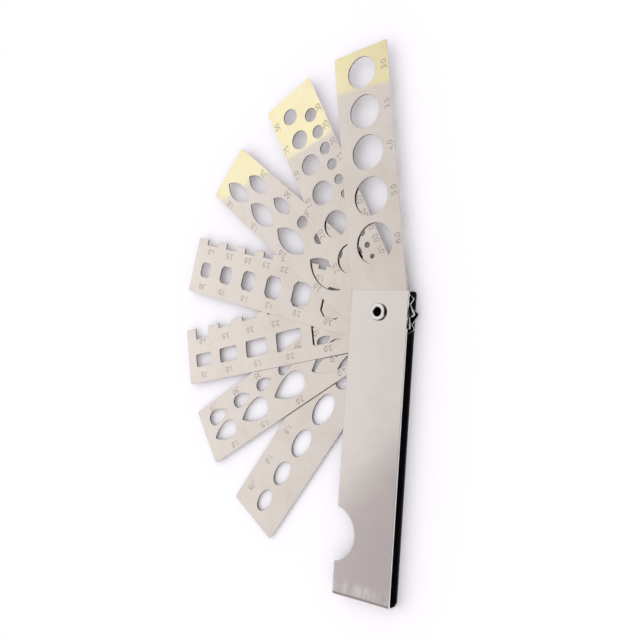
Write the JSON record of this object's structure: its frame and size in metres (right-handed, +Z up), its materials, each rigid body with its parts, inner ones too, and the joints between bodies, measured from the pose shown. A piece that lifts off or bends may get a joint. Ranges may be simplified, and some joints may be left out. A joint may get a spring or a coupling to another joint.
{
  "type": "gem fan gauge",
  "caption": "Pocket fan gauge for gemstones: steel leaves with graded holes for several stone cuts turn on one hollow eyelet and fold into a bent sheet case with a thumb notch.",
  "frame": {"origin": "on the eyelet's axis at the case's rear face", "axes": "+Z up the eyelet's axis from the rear cheek to the front cheek, +Y along the case from its bent end to the eyelet, X across the case"},
  "size_m": [0.0885, 0.1574, 0.0052],
  "materials": {
    "case_steel": "polished stainless sheet",
    "leaf_steel": "satin stainless sheet with tumbled edges",
    "eyelet_steel": "bright rolled eyelet"
  },
  "bodies": {
    "case": {"case": "case_steel", "pivot_eyelet": "eyelet_steel"},
    "leaf_large_round": {"leaf_large_round": "leaf_steel"},
    "leaf_small_round": {"leaf_small_round": "leaf_steel"},
    "leaf_marquise": {"leaf_marquise": "leaf_steel"},
    "leaf_emerald": {"leaf_emerald": "leaf_steel"},
    "leaf_baguette": {"leaf_baguette": "leaf_steel"},
    "leaf_pear": {"leaf_pear": "leaf_steel"},
    "leaf_oval": {"leaf_oval": "leaf_steel"}
  },
  "joints": [
    {"name": "large_round_swing", "type": "hinge", "parent": "case", "child": "leaf_large_round", "pos_m": [0, 0, 0], "axis": [0, 0, -1], "range_deg": [-170.5, 9.5]},
    {"name": "small_round_swing", "type": "hinge", "parent": "case", "child": "leaf_small_round", "pos_m": [0, 0, 0], "axis": [0, 0, -1], "range_deg": [-149.5, 30.5]},
    {"name": "marquise_swing", "type": "hinge", "parent": "case", "child": "leaf_marquise", "pos_m": [0, 0, 0], "axis": [0, 0, -1], "range_deg": [-125.5, 54.5]},
    {"name": "emerald_swing", "type": "hinge", "parent": "case", "child": "leaf_emerald", "pos_m": [0, 0, 0], "axis": [0, 0, -1], "range_deg": [-101, 79]},
    {"name": "baguette_swing", "type": "hinge", "parent": "case", "child": "leaf_baguette", "pos_m": [0, 0, 0], "axis": [0, 0, -1], "range_deg": [-77.5, 102.5]},
    {"name": "pear_swing", "type": "hinge", "parent": "case", "child": "leaf_pear", "pos_m": [0, 0, 0], "axis": [0, 0, -1], "range_deg": [-57, 123]},
    {"name": "oval_swing", "type": "hinge", "parent": "case", "child": "leaf_oval", "pos_m": [0, 0, 0], "axis": [0, 0, -1], "range_deg": [-34, 146]}
  ]
}
